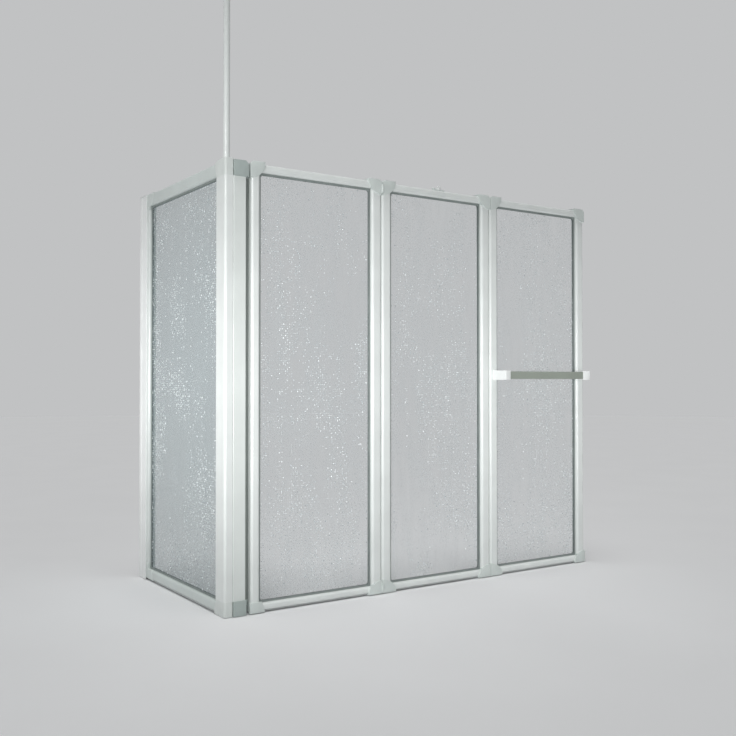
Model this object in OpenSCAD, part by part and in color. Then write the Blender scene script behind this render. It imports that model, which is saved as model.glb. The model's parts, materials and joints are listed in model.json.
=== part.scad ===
// Folding bath screen. A fixed side panel stands between the wall and a corner post, a pole runs from the post
// to the ceiling, and three hinged panels with textured plastic sheets close the front. The last one carries a
// towel bar. X runs right along the front, Y runs inward over the bath and Z runs up from the bath rim.
// The origin is on the rim, at the foot of the pole's axis. Lengths are in millimetres.

/* [Frames] */
// Height of the top rails' upper edge above the rim
frame_h = 1210; // [900:10:1400]
// Thickness of the front panels from outer to inner face
frame_t = 26; // [24:0.5:32]
// Radius of the long outer shoulders of stiles and rails
shoulder_r = 8; // [3:0.5:9]
// Radius of the long inner shoulders of stiles and rails
inner_shoulder_r = 2; // [1:0.5:4]
// Wall of the extruded profiles
wall = 2; // [1.5:0.1:2.5]
// Depth of the slot that takes the sheet and its gasket
slot_d = 10; // [8:0.5:12]
// Height of the front panels' top rails
top_rail_h = 23; // [20:0.5:32]
// Height of the front panels' bottom rails
bottom_rail_h = 20; // [18:0.5:30]
// Height of the seals between the rim and the bottom rails
seal_h = 5; // [4:0.5:8]

/* [Front panels] */
// Width of panel 1's hinge stile
hinge_stile_w = 26.9; // [24:0.1:34]
// Width of the stiles on both sides of a seam
stile_w = 33.8; // [26:0.1:40]
// Width of panel 3's closing stile
end_stile_w = 33.1; // [26:0.1:40]
// Clear width of panel 1's sheet
opening_1_w = 364.6; // [250:0.1:450]
// Clear width of panel 2's sheet
opening_2_w = 351.3; // [250:0.1:450]
// Clear width of panel 3's sheet
opening_3_w = 361.7; // [250:0.1:450]
// Gap between two neighbouring panels
seam = 1.5; // [1:0.1:2]

/* [Side panel and corner] */
// Depth of the whole side, from the front face to the wall
side_d = 627; // [500:1:800]
// Thickness of the side panel, post included
side_t = 24.6; // [24:0.1:28]
// Width of the corner post along the side
post_w = 54; // [48:0.5:60]
// Radius of the post's outer corner
post_corner_r = 7; // [3:0.5:8]
// Radius of the post's front edge at the hinge profile
post_edge_r = 2; // [1:0.5:4]
// Distance of the pole's axis from the outer side face
pole_in = 12.3; // [12:0.1:13]
// Distance of the pole's axis from the front face
pole_back = 17.9; // [15:0.1:19]
// Width of the rear stile
rear_stile_w = 35; // [30:1:50]
// Depth of the wall profile
wall_profile_d = 54; // [40:1:70]
// Thickness of the wall profile's sides
wall_profile_t = 2; // [1.5:0.1:3]
// Height of the wall profile's raised bands over its sides
band_t = 1; // [0.5:0.1:2]
// Length of the rear stile that stands inside the wall profile
rear_stile_inside = 20; // [10:1:25]
// Height of the side panel's top rail
side_top_rail_h = 38; // [30:0.5:50]
// Height of the side panel's bottom rail
side_bottom_rail_h = 30; // [25:0.5:45]
// Width of the hinge profile
hinge_profile_w = 37.4; // [30:0.1:45]
// Gap between the hinge profile and panel 1
hinge_gap = 15.8; // [15:0.1:18]
// How far the hinge profile's upper cap reaches over that gap
hinge_cap_over = 6.5; // [4:0.5:7]
// How far panel 1's brackets reach over that gap
hinge_over = 4; // [2:0.5:5]
// Height of the corner foot and of the hinge profile's lower cap
foot_h = 40; // [38:1:50]
// Reach of the corner cap and foot along the side rails
cap_over = 10; // [6:0.5:14]

/* [Sheets] */
// Thickness of the plastic sheets
sheet_t = 3; // [2:0.5:4]
// Thickness of the gasket's lips
lip_t = 1.5; // [1:0.1:2]
// Width of the gasket's visible lip
lip_w = 5.5; // [1:0.1:8]
// Radius of the gasket's inner corners
lip_r = 8; // [4:0.5:12]

/* [Corner brackets] */
// Leg of the top brackets along the rail
top_bracket_w = 47; // [42:0.5:55]
// Leg of the top brackets along the stile
top_bracket_h = 44; // [40:0.5:50]
// Height of the top brackets over the rail
bracket_rise = 5; // [3:0.5:8]
// Leg of the bottom brackets along the rail
bottom_bracket_w = 48; // [42:0.5:55]
// Leg of the bottom brackets along the stile
bottom_bracket_h = 40; // [36:0.5:48]
// Height of panel 1's bottom bracket beside the hinge profile
hinge_bracket_h = 30; // [28:0.5:36]
// Gap between the bottom brackets and the rim
rim_gap = 1.5; // [0.5:0.1:2.5]
// How far the brackets stand out of the outer face
bracket_front = 4; // [2:0.5:5]
// How far the brackets stand out of the inner face
bracket_back = 2; // [1:0.5:3]
// Width of the sloped shoulder on top of a bracket
bracket_shoulder_w = 9; // [6:0.5:14]
// Drop of that shoulder
bracket_shoulder_h = 6.5; // [4:0.5:10]
// Length of the bracket tongues inside the profiles
tongue = 40; // [25:1:60]

/* [Hinges] */
// Radius of the rod on which panel 1 swings
rod_r = 4; // [3:0.25:4]
// Radius of the eyes and the tube round that rod
eye_r = 6; // [5.5:0.25:6.5]
// Distance of the rod's axis from panel 1's stile
rod_in = 7.2; // [6.8:0.1:8]
// Distance of the rod's axis from the front face
rod_back = 19; // [17:0.5:20]
// Height of each eye
eye_h = 12; // [8:0.5:14]
// Radius of the seam hinges' pins
pin_r = 1.6; // [1.2:0.1:2]
// Radius of the seam hinges' lugs
lug_r = 3.5; // [3:0.1:4]
// Height of each seam hinge lug
lug_h = 12; // [8:0.5:13]
// Distance of a seam hinge's axis in front of the bracket faces
pin_out = 0.5; // [0.4:0.1:1]
// Radial clearance of a turning fit
run_fit = 0.05; // [0.02:0.01:0.1]
// Clearance between parts that pass each other
pass_gap = 0.4; // [0.3:0.1:0.6]
// Height of a thrust gap under a turning piece
thrust_gap = 0.3; // [0.2:0.1:0.5]

/* [Pole] */
// Radius of the pole
pole_r = 8.9; // [7:0.1:9]
// Wall of the pole tubes
pole_wall = 1.2; // [0.8:0.1:2]
// Height of the joint between the two lengths of pole
pole_joint_z = 1480; // [1460:10:1600]
// Height of the ceiling over the rim
ceiling_z = 1900; // [1800:10:2200]
// Radius of the ceiling flange
flange_r = 30; // [28:1:40]
// Depth at which the pole stands in the post, under the rail's top edge
pole_depth = 110; // [60:5:150]

/* [Towel bar] */
// Height of the bar's centre over the rim
bar_z = 641; // [500:1:800]
// Height of the bar's section
bar_h = 24.6; // [18:0.1:28]
// Depth of the bar's section
bar_t = 12; // [8:0.5:14]
// Distance from the outer face to the bar's front
bar_out = 42; // [38:1:46]
// Height of the bar's brackets
bar_bracket_h = 30; // [28:0.5:40]
// How far the brackets' outer ends stand out of the outer face
bar_bracket_out = 50; // [48:1:56]

/* [Catch] */
// Distance of the catch's pivot from panel 2's left edge
catch_u = 219.4; // [120:0.1:230]
// Length of the catch plate
catch_plate_w = 44; // [40:1:60]
// Height of the catch grip over its hub
grip_h = 8; // [5:0.5:12]

/* [Hidden] */
$fn = 48;
eps = 0.01;
slot_w = sheet_t + 2 * lip_t;
slot_y = (frame_t - slot_w) / 2;
side_slot_y = (side_t - slot_w) / 2;
gasket_in = slot_d - 0.5;
sheet_in = slot_d - 1.5;
hinge_profile_x = side_t;
first_x = side_t + hinge_profile_w + hinge_gap;
panel_1_w = hinge_stile_w + opening_1_w + stile_w;
panel_2_w = stile_w + opening_2_w + stile_w;
second_x = first_x + panel_1_w + seam;
third_x = second_x + panel_2_w + seam;
seam_1_x = second_x - seam / 2;
seam_2_x = third_x - seam / 2;
hinge_1_y = -bracket_front - pin_out;
hinge_2_y = frame_t + bracket_back + pin_out;
rod_x = first_x - rod_in;
bracket_top = frame_h + bracket_rise;
rear_stile_y = side_d - wall_profile_d + rear_stile_inside - rear_stile_w;
side_opening_w = rear_stile_y - post_w;
cap_lap = 2;
cap_edge = 1;
cap_fall = 3;
cap_lean = 2;
cap_h = top_bracket_h + cap_lap;
cap_z = bracket_top - cap_h;
hinge_cap_drop = 3;
hinge_cap_top = bracket_top - hinge_cap_drop;
fit_gap = 0.2;
slide_fit = 0.1;
reach = 200;
edge_wall = wall + 1;
opening_h = frame_h - top_rail_h - seal_h - bottom_rail_h;
side_opening_z = seal_h + side_bottom_rail_h;
side_opening_h = frame_h - side_top_rail_h - side_opening_z;
over_depth = 10;
eye_inset = 2;
eye_low_z = foot_h - eye_inset - eye_h;
eye_high_z = cap_z + eye_inset;
knuckle_z0 = eye_low_z + eye_h + thrust_gap;
knuckle_lift = 4;
knuckle_z1 = eye_high_z - knuckle_lift;
rod_end = 3;
lug_inset = 6;
lug_top_z = bracket_top - top_bracket_h + lug_inset;
lug_bottom_z = rim_gap + lug_inset;
strip_t = 3;
strip_root = 1;
strip_1_in = 7;
strip_1_y = frame_t - strip_1_in;
strip_2_y = shoulder_r + strip_root;
strip_3_y = rod_back - strip_t / 2;
tongue_root = 12;
tongue_t = frame_t - 2 * edge_wall - 2 * fit_gap;
screw_u = 9;
screw_r = 1.5;
screw_l = 12;
screw_down = 14;
screw_head_r = 2.8;
screw_head_t = 1.5;
screw_head_edge = 0.8;
seal_w = 10;
fin_w = 1.5;
bar_end_u = 48;
bar_start_u = 30;
bar_foot_u = 13;
bar_foot_w = 15;
bar_nose_u = 24;
bar_neck_u = 38;
bar_corner_r = 3;
bar_wall = 1.5;
bar_peg_u = 19.4;
bar_peg_r = 2.5;
bar_peg_l = 8;
catch_base_h = 2;
catch_hub_h = 5;
catch_plate_t = 8;
catch_stop_u = 18;
catch_stop_r = 5;
catch_pin_r = 2.4;
catch_hub_r = 7;
catch_arm_l = 21;
catch_arm_w = 6;
catch_plate_share = 0.55;
catch_grip_l = 10.8;
catch_grip_w = 8;
catch_grip_root = 1;
profile_screw_end = 100;
profile_screw_z = [profile_screw_end, frame_h / 2, frame_h - profile_screw_end];
profile_screw_y = 6.5;
profile_screw_r = 2;
profile_screw_in = 9;
profile_screw_head_r = 3.8;
profile_screw_head_t = 2.6;
hinge_profile_r = 2.5;
hinge_cap_groove = 1.4;
hinge_cap_step = 3;
hinge_plug = 25;
hinge_foot_over = 0.5;
hinge_bracket_slope = 10;
rear_bracket_w = 58;
rear_bracket_h = 50;
wall_profile_drop = 3;
wall_profile_h = frame_h - wall_profile_drop;
band_w = 8;
wall_hole_r = 2.5;
wall_hole_end = 110;
wall_holes = 4;
wall_hole_step = (frame_h - 2 * wall_hole_end) / (wall_holes - 1);
wall_hole_z = [for (k = [0:wall_holes - 1]) wall_hole_end + k * wall_hole_step];
cap_plate_t = 2.5;
cap_plug = 12;
grub_drop = 23;
grub_z = bracket_top - grub_drop;
grub_r = 2.5;
flange_t = 6;
socket_h = 26;
socket_wall = 3;
flange_hole_pcr = 22;
flange_hole_r = 2.2;
cover_h = 30;
cover_t = 1.2;
spigot_l = 80;
frame_white = "#e4e8e6";
bracket_grey = "#aebcb8";
cap_grey = "#94a19d";
hinge_grey = "#666c6a";

// Width of a panel's left stile, opening and right stile, and its left edge, by the panel's number
function left_w(i) = i == 1 ? hinge_stile_w : stile_w;
function right_w(i) = i == 3 ? end_stile_w : stile_w;
function opening_w(i) = i == 1 ? opening_1_w : i == 2 ? opening_2_w : opening_3_w;
function panel_w(i) = left_w(i) + opening_w(i) + right_w(i);
function panel_x(i) = i == 1 ? first_x : i == 2 ? second_x : third_x;
// Points of a quarter ellipse round the origin, from the first axis to the second
function quarter(a, b, steps = 12) = [for (k = [0:steps]) [a * cos(90 * k / steps), b * sin(90 * k / steps)]];
// Outline between a corner at height z and a quarter ellipse round it
function corner_outline(w, h, z) = concat([[0, z]], [for (p = quarter(w, h)) [p[0], z + p[1]]]);
// Points of a shoulder that rises from the edge at u = 0: level at first, then sloped up to the flat top
function shoulder(w, drop, top) = [[0, top - drop], [w / 4, top - drop], [w, top]];

// Moves a piece from the corner frame, with its zero at the outer front corner, to the pole's axis
module placed() {
    translate([-pole_in, -pole_back, 0]) children();
}

// Swaps width and depth, which turns a front piece into a side piece
module as_side() {
    mirror([1, -1, 0]) children();
}

// Puts a piece drawn from a panel's left edge in its place, mirrored for the right edge
module at_left(i) {
    translate([panel_x(i), 0, 0]) children();
}
module at_right(i) {
    translate([panel_x(i) + panel_w(i), 0, 0]) mirror([1, 0, 0]) children();
}

// Prism over an outline in width and height, from depth y0 to depth y1
module prism(points, y0, y1) {
    translate([0, y1, 0]) rotate([90, 0, 0]) linear_extrude(y1 - y0) polygon(points);
}

// What a rounded corner leaves out of a square one
module corner_waste(r) {
    difference() {
        translate([-eps, -eps]) square(r + eps);
        translate([r, r]) circle(r);
    }
}

// Plate with rounded outer and inner edges, width by depth
module rounded_section(w, t, r_out, r_in) {
    difference() {
        square([w, t]);
        corner_waste(r_out);
        translate([w, 0]) mirror([1, 0]) corner_waste(r_out);
        translate([0, t]) mirror([0, 1]) corner_waste(r_in);
        translate([w, t]) mirror([1, 0]) mirror([0, 1]) corner_waste(r_in);
    }
}

// Hollow profile with the sheet's slot in its far edge
module frame_section(w, t) {
    difference() {
        rounded_section(w, t, shoulder_r, inner_shoulder_r);
        translate([w - slot_d, (t - slot_w) / 2]) square([slot_d + eps, slot_w]);
        translate([edge_wall, edge_wall]) square([w - slot_d - wall - edge_wall, t - 2 * edge_wall]);
    }
}

// Upright between two rails, mitred at both ends
module stile_blank(w, t, z0, z1, low_h, high_h) {
    intersection() {
        translate([0, 0, z0]) linear_extrude(z1 - z0) children();
        prism([[0, z0], [w, z0 + low_h], [w, z1 - high_h], [0, z1]], -eps, t + eps);
    }
}

// Level profile of the given height, its slot on top, mitred to two stiles
module rail_blank(length, w0, w1, h, t) {
    intersection() {
        rotate([90, 0, 90]) linear_extrude(length) mirror([1, -1]) frame_section(h, t);
        prism([[0, 0], [length, 0], [length - w1, h], [w0, h]], -eps, t + eps);
    }
}

// Ring round a sheet's edge, drawn from the opening's lower left corner
module gasket_ring(w, h, y) {
    difference() {
        translate([0, y + slot_w, 0]) rotate([90, 0, 0]) linear_extrude(slot_w) difference() {
            translate([-gasket_in, -gasket_in]) square([w + 2 * gasket_in, h + 2 * gasket_in]);
            translate([lip_w, lip_w]) rounded_section(w - 2 * lip_w, h - 2 * lip_w, lip_r, lip_r);
        }
        sheet(w, h, y);
    }
}

// Plastic sheet, drawn from the opening's lower left corner
module sheet(w, h, y) {
    translate([-sheet_in, y + lip_t, -sheet_in]) cube([w + 2 * sheet_in, sheet_t, h + 2 * sheet_in]);
}

// Room that a bracket leaves for the opening, the gasket and the sheet
module opening_room(u, z0, z1, t, slot) {
    translate([u, 0, z0]) cube([reach, t, z1 - z0]);
    translate([u - slot_d, slot, z0 - slot_d]) cube([reach, slot_w, z1 - z0 + 2 * slot_d]);
}

// Front panels

// The brackets of the hinge stile, beside = true, are narrower by as much as the stile is
function top_leg(beside) = beside ? top_bracket_w - stile_w + hinge_stile_w : top_bracket_w;
function bottom_leg(beside) = beside ? bottom_bracket_w - stile_w + hinge_stile_w : bottom_bracket_w;
function low_bracket_h(beside) = beside ? hinge_bracket_h : bottom_bracket_h;

// Outline of a top bracket in width and height, from the panel's edge
function top_outline(beside) = concat(
    shoulder(bracket_shoulder_w, bracket_shoulder_h, bracket_top),
    [for (p = quarter(top_leg(beside), -top_bracket_h)) [p[0], bracket_top + p[1]]]);

// Outline of a bottom bracket: rounded, or flat on top with a steep side beside the hinge profile
function bottom_outline(beside) = beside
    ? [[0, rim_gap], [0, hinge_bracket_h], [bottom_leg(true) - hinge_bracket_slope, hinge_bracket_h],
        [bottom_leg(true), rim_gap]]
    : corner_outline(bottom_bracket_w, bottom_bracket_h - rim_gap, rim_gap);

// What both brackets of one edge take out of the stile and the rails
module bracket_room(beside) {
    prism(corner_outline(top_leg(beside), -top_bracket_h, bracket_top), -eps, frame_t + eps);
    prism(bottom_outline(beside), -eps, frame_t + eps);
}

// Heights of the screws that hold the brackets' tongues in a stile
function screw_heights(beside) = [low_bracket_h(beside) + screw_down, bracket_top - top_bracket_h - screw_down];

// Holes for those screws, through the stile's inner face into the tongues
module screw_holes(beside) {
    for (z = screw_heights(beside)) translate([screw_u, frame_t + eps, z]) rotate([90, 0, 0])
        cylinder(r = screw_r + run_fit, h = screw_l + fit_gap + eps);
}

// The screws themselves
module bracket_screws(beside) {
    for (z = screw_heights(beside)) translate([screw_u, frame_t, z]) rotate([90, 0, 0]) {
        cylinder(r = screw_r, h = screw_l);
        translate([0, 0, -screw_head_t])
            cylinder(r1 = screw_head_r - screw_head_edge, r2 = screw_head_r, h = screw_head_t);
    }
}

// One stile of a front panel, drawn from the panel's edge, with a groove for a strip at groove_y
module stile(w, beside, groove_y) {
    difference() {
        stile_blank(w, frame_t, seal_h, frame_h, bottom_rail_h, top_rail_h) difference() {
            frame_section(w, frame_t);
            if (groove_y > 0) translate([-eps, groove_y]) square([strip_root + eps, strip_t]);
        }
        bracket_room(beside);
        screw_holes(beside);
    }
}

// Both rails of a front panel come from this one, drawn with its slot on top
module panel_rail(i, h) {
    rail_blank(panel_w(i), left_w(i), right_w(i), h, frame_t);
}

module top_rail(i) {
    difference() {
        at_left(i) translate([0, 0, frame_h]) mirror([0, 0, 1]) panel_rail(i, top_rail_h);
        at_left(i) bracket_room(i == 1);
        at_right(i) bracket_room(false);
    }
}

module bottom_rail(i) {
    difference() {
        at_left(i) translate([0, 0, seal_h]) panel_rail(i, bottom_rail_h);
        at_left(i) bracket_room(i == 1);
        at_right(i) bracket_room(false);
    }
}

// Tongues of a top and a bottom bracket inside the stile and the rail, each with its root in the bracket
module top_tongues(w, beside) {
    translate([edge_wall + fit_gap, edge_wall + fit_gap, bracket_top - top_bracket_h - tongue])
        cube([w - slot_d - wall - edge_wall - 2 * fit_gap, tongue_t, tongue + tongue_root]);
    translate([top_leg(beside) - tongue_root, edge_wall + fit_gap,
        frame_h - top_rail_h + slot_d + wall + fit_gap])
        cube([tongue + tongue_root, tongue_t, top_rail_h - slot_d - wall - edge_wall - 2 * fit_gap]);
}
module bottom_tongues(w, beside) {
    translate([edge_wall + fit_gap, edge_wall + fit_gap, low_bracket_h(beside) - tongue_root])
        cube([w - slot_d - wall - edge_wall - 2 * fit_gap, tongue_t, tongue + tongue_root]);
    translate([bottom_leg(beside) - tongue_root, edge_wall + fit_gap, seal_h + edge_wall + fit_gap])
        cube([tongue + tongue_root, tongue_t, bottom_rail_h - slot_d - wall - edge_wall - 2 * fit_gap]);
}

// Room for the opening, the gasket and the sheet inside a front panel's bracket
module panel_room(w) {
    opening_room(w, seal_h + bottom_rail_h, frame_h - top_rail_h, frame_t, slot_y);
}

// A top bracket without its hinge, drawn from the panel's edge. Beside the hinge profile its front is widened
// beyond that edge.
module top_bracket(w, beside = false) {
    difference() {
        union() {
            difference() {
                union() {
                    prism(top_outline(beside), -bracket_front, frame_t + bracket_back);
                    if (beside) translate([-hinge_over, 0, 0])
                        prism(top_outline(true), -bracket_front, over_depth);
                }
                panel_room(w);
            }
            top_tongues(w, beside);
        }
        screw_holes(beside);
    }
}

// A bottom bracket, drawn the same way
module bottom_bracket(w, beside = false) {
    difference() {
        union() {
            difference() {
                union() {
                    prism(bottom_outline(beside), -bracket_front, frame_t + bracket_back);
                    if (beside) translate([-hinge_over, 0, 0])
                        prism(bottom_outline(true), -bracket_front, over_depth);
                }
                panel_room(w);
            }
            bottom_tongues(w, beside);
        }
        screw_holes(beside);
    }
}

// One lug of a seam hinge: it reaches from its bracket's edge at sx towards the axis; sy points into the panel
module lug(x, y, z, sx, sy) {
    translate([x, y, z]) {
        cylinder(r = lug_r, h = lug_h);
        translate([sx > 0 ? 0 : -lug_r - seam / 2, sy > 0 ? 0 : -lug_r, 0])
            cube([lug_r + seam / 2, lug_r, lug_h]);
    }
}

// Clearance that a bracket gives to its neighbour's lug
module lug_room(x, y, z) {
    translate([x, y, z - thrust_gap]) cylinder(r = lug_r + pass_gap, h = lug_h + 2 * thrust_gap);
}

// Lower lugs, on the bracket to the left of the seam, with the pins' tight bores
module left_of_seam(x, y, z, sy) {
    difference() {
        union() {
            difference() {
                children();
                lug_room(x, y, z + lug_h + thrust_gap);
            }
            lug(x, y, z, -1, sy);
        }
        translate([x, y, z - eps]) cylinder(r = pin_r, h = lug_h + 2 * eps);
    }
}

// Upper lugs, on the bracket to the right of the seam, with the pins' running bores
module right_of_seam(x, y, z, sy) {
    difference() {
        union() {
            difference() {
                children();
                lug_room(x, y, z);
            }
            lug(x, y, z + lug_h + thrust_gap, 1, sy);
        }
        translate([x, y, z + lug_h]) cylinder(r = pin_r + run_fit, h = lug_h + 2 * thrust_gap);
    }
}

// Two pins of a seam hinge, held in the lower lugs
module hinge_pins(x, y) {
    color("#c9cdcf") placed() for (z = [lug_bottom_z, lug_top_z])
        translate([x, y, z]) cylinder(r = pin_r, h = 2 * lug_h + thrust_gap);
}

// Tube that swings on the rod, with the web that stands in the groove of panel 1's hinge stile
module hinge_knuckle() {
    color(hinge_grey) placed() translate([rod_x, rod_back, knuckle_z0]) difference() {
        union() {
            cylinder(r = eye_r, h = knuckle_z1 - knuckle_z0);
            translate([0, -strip_t / 2, 0]) cube([rod_in + strip_root, strip_t, knuckle_z1 - knuckle_z0]);
        }
        translate([0, 0, -eps]) cylinder(r = rod_r + 2 * run_fit, h = knuckle_z1 - knuckle_z0 + 2 * eps);
    }
}

module panel_left_stile(i) {
    color(frame_white) placed() difference() {
        at_left(i) stile(left_w(i), i == 1, i == 1 ? strip_3_y : 0);
        if (i == 3) bar_peg_holes();
    }
}

module panel_right_stile(i) {
    groove_y = i == 1 ? strip_1_y : i == 2 ? strip_2_y : 0;
    color(frame_white) placed() difference() {
        at_right(i) stile(right_w(i), false, groove_y);
        if (i == 3) bar_peg_holes();
    }
}

module panel_top_rail(i) {
    color(frame_white) placed() top_rail(i);
}

module panel_bottom_rail(i) {
    color(frame_white) placed() bottom_rail(i);
}

module at_opening(i) {
    translate([panel_x(i) + left_w(i), 0, seal_h + bottom_rail_h]) children();
}

module panel_glazing(i) {
    color("#b9c4cc", 0.4) placed() at_opening(i) sheet(opening_w(i), opening_h, slot_y);
}

module panel_gasket(i) {
    color("#6a7270") placed() at_opening(i) gasket_ring(opening_w(i), opening_h, slot_y);
}

module panel_top_brackets(i) {
    color(bracket_grey) placed() {
        if (i == 1) {
            at_left(1) top_bracket(left_w(1), true);
            left_of_seam(seam_1_x, hinge_1_y, lug_top_z, 1) at_right(1) top_bracket(right_w(1));
        }
        if (i == 2) {
            right_of_seam(seam_1_x, hinge_1_y, lug_top_z, 1) at_left(2) top_bracket(left_w(2));
            left_of_seam(seam_2_x, hinge_2_y, lug_top_z, -1) at_right(2) top_bracket(right_w(2));
        }
        if (i == 3) {
            right_of_seam(seam_2_x, hinge_2_y, lug_top_z, -1) at_left(3) top_bracket(left_w(3));
            at_right(3) top_bracket(right_w(3));
        }
    }
}

module panel_bottom_brackets(i) {
    color(bracket_grey) placed() {
        if (i == 1) {
            at_left(1) bottom_bracket(left_w(1), true);
            left_of_seam(seam_1_x, hinge_1_y, lug_bottom_z, 1) at_right(1) bottom_bracket(right_w(1));
        }
        if (i == 2) {
            right_of_seam(seam_1_x, hinge_1_y, lug_bottom_z, 1) at_left(2) bottom_bracket(left_w(2));
            left_of_seam(seam_2_x, hinge_2_y, lug_bottom_z, -1) at_right(2) bottom_bracket(right_w(2));
        }
        if (i == 3) {
            right_of_seam(seam_2_x, hinge_2_y, lug_bottom_z, -1) at_left(3) bottom_bracket(left_w(3));
            at_right(3) bottom_bracket(right_w(3));
        }
    }
}

// Seal under a panel's bottom rail, between its brackets: a body and two soft fins
module rail_seal(length, t) {
    rotate([90, 0, 90]) linear_extrude(length) translate([(t - seal_w) / 2, 0]) {
        translate([0, seal_h - fin_w]) square([seal_w, fin_w]);
        for (y = [fin_w, seal_w - 2 * fin_w]) translate([y, rim_gap / 2]) square([fin_w, seal_h - rim_gap / 2]);
    }
}

module panel_seal(i) {
    start = bottom_leg(i == 1) + fit_gap;
    color("#9aa5a3") placed() translate([panel_x(i) + start, 0, 0])
        rail_seal(panel_w(i) - start - bottom_bracket_w - fit_gap, frame_t);
}

module panel_screws(i) {
    color("#cfd2d3") placed() {
        at_left(i) bracket_screws(i == 1);
        at_right(i) bracket_screws(false);
    }
}

// Soft strip in the groove of the stile at x, closing the seam at depth y
module seam_strip(x, y) {
    z0 = bottom_bracket_h + fit_gap;
    z1 = bracket_top - top_bracket_h - fit_gap;
    color("#6c7472") placed() translate([x - strip_root, y, z0])
        cube([strip_root + seam - pass_gap, strip_t, z1 - z0]);
}

// Towel bar

// Outline of a bar bracket seen from above, from the panel's edge
function bar_bracket_outline() = [[bar_foot_u, 0], [bar_nose_u, -bar_bracket_out], [bar_end_u, -bar_out - wall],
    [bar_end_u, bar_t - bar_out + wall], [bar_neck_u, bar_t - bar_out], [bar_start_u, -bar_out / 2],
    [bar_foot_u + bar_foot_w, 0]];

module bar_section(grow = 0) {
    translate([-bar_out - grow, bar_z - bar_h / 2 - grow])
        rounded_section(bar_t + 2 * grow, bar_h + 2 * grow, bar_corner_r, bar_corner_r);
}

module bar_pegs(r, grow = 0) {
    for (z = [-bar_h / 3, bar_h / 3])
        translate([bar_peg_u, -eps, bar_z + z]) rotate([-90, 0, 0]) cylinder(r = r, h = bar_peg_l + grow);
}

module bar_peg_holes() {
    at_left(3) bar_pegs(bar_peg_r + run_fit, fit_gap);
    at_right(3) bar_pegs(bar_peg_r + run_fit, fit_gap);
}

module bar_bracket() {
    translate([0, 0, bar_z - bar_bracket_h / 2]) linear_extrude(bar_bracket_h) polygon(bar_bracket_outline());
    translate([0, -1, 0]) bar_pegs(bar_peg_r, 1);
}

module bar_length(u, grow = 0) {
    translate([panel_x(3) + u, 0, 0]) rotate([90, 0, 90]) linear_extrude(panel_w(3) - 2 * u) bar_section(grow);
}

module towel_bar() {
    color("#9ba5a2") placed() difference() {
        bar_length(bar_start_u);
        translate([panel_x(3), bar_wall - bar_out, bar_z - bar_h / 2 + bar_wall])
            cube([panel_w(3), bar_t - 2 * bar_wall, bar_h - 2 * bar_wall]);
    }
}

module towel_bar_brackets() {
    color("#e6ebe9") placed() difference() {
        union() {
            at_left(3) bar_bracket();
            at_right(3) bar_bracket();
        }
        bar_length(bar_start_u - slide_fit, slide_fit / 2);
    }
}

// Turn catch on panel 2's top rail

module at_catch() {
    placed() translate([panel_x(2) + catch_u, frame_t / 2, frame_h]) children();
}

module catch_base() {
    color("#c8d0cd") at_catch() {
        translate([-catch_plate_w * catch_plate_share, -catch_plate_t, 0])
            cube([catch_plate_w, 2 * catch_plate_t, catch_base_h]);
        translate([-catch_stop_u, 0, 0]) cylinder(r = catch_stop_r, h = catch_base_h + catch_hub_h);
        cylinder(r = catch_pin_r, h = catch_base_h + catch_hub_h + grip_h / 2);
    }
}

module catch_lever() {
    color("#eef1f0") at_catch() translate([0, 0, catch_base_h + thrust_gap]) difference() {
        union() {
            cylinder(r = catch_hub_r, h = catch_hub_h);
            translate([0, -catch_arm_w / 2, 0]) cube([catch_arm_l, catch_arm_w, catch_base_h]);
            prism([[-catch_grip_l, catch_hub_h - catch_grip_root], [0, catch_hub_h + grip_h],
                [catch_grip_w, catch_hub_h + grip_h], [catch_grip_w, catch_hub_h - catch_grip_root]],
                -catch_arm_w / 2, catch_arm_w / 2);
        }
        translate([0, 0, -eps]) cylinder(r = catch_pin_r + run_fit, h = catch_hub_h + grip_h / 2 + fit_gap);
    }
}

// Side panel and corner. Its pieces are drawn like front pieces and swapped over: width is the side's depth.

module post_plan(w) {
    difference() {
        square([w, side_t]);
        corner_waste(post_corner_r);
        translate([0, side_t]) mirror([0, 1]) corner_waste(post_edge_r);
    }
}

module corner_post() {
    color(frame_white) placed() difference() {
        as_side() translate([0, 0, foot_h]) linear_extrude(cap_z - foot_h) difference() {
            post_plan(post_w);
            translate([pole_back, pole_in]) circle(pole_r + fit_gap);
            translate([pole_back + pole_r + 2 * wall, edge_wall])
                square([post_w - slot_d - wall - pole_back - pole_r - 2 * wall, side_t - 2 * edge_wall]);
            translate([post_w - slot_d, side_slot_y]) square([slot_d + eps, slot_w]);
        }
        for (z = profile_screw_z) translate([side_t + eps, profile_screw_y, z]) rotate([0, -90, 0])
            cylinder(r = profile_screw_r, h = profile_screw_in + fit_gap);
    }
}

// Outline of the corner cap along the side
function cap_outline() = [[0, cap_z], [0, bracket_top - cap_edge], [cap_edge, bracket_top],
    [post_w - 2 * cap_over, bracket_top], [post_w - cap_over, bracket_top - cap_edge],
    [post_w, bracket_top - cap_fall], [post_w + cap_over, frame_h - cap_edge],
    [post_w + cap_over - cap_lean, frame_h - side_top_rail_h / 2], [post_w, cap_z]];

// Outline of the corner foot along the side
function foot_outline() = [[0, 0], [post_w + cap_over, 0], [post_w + cap_over - cap_lean, foot_h / 2],
    [post_w, foot_h], [0, foot_h]];

module side_room() {
    opening_room(post_w, side_opening_z, side_opening_z + side_opening_h, side_t, side_slot_y);
}

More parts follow.
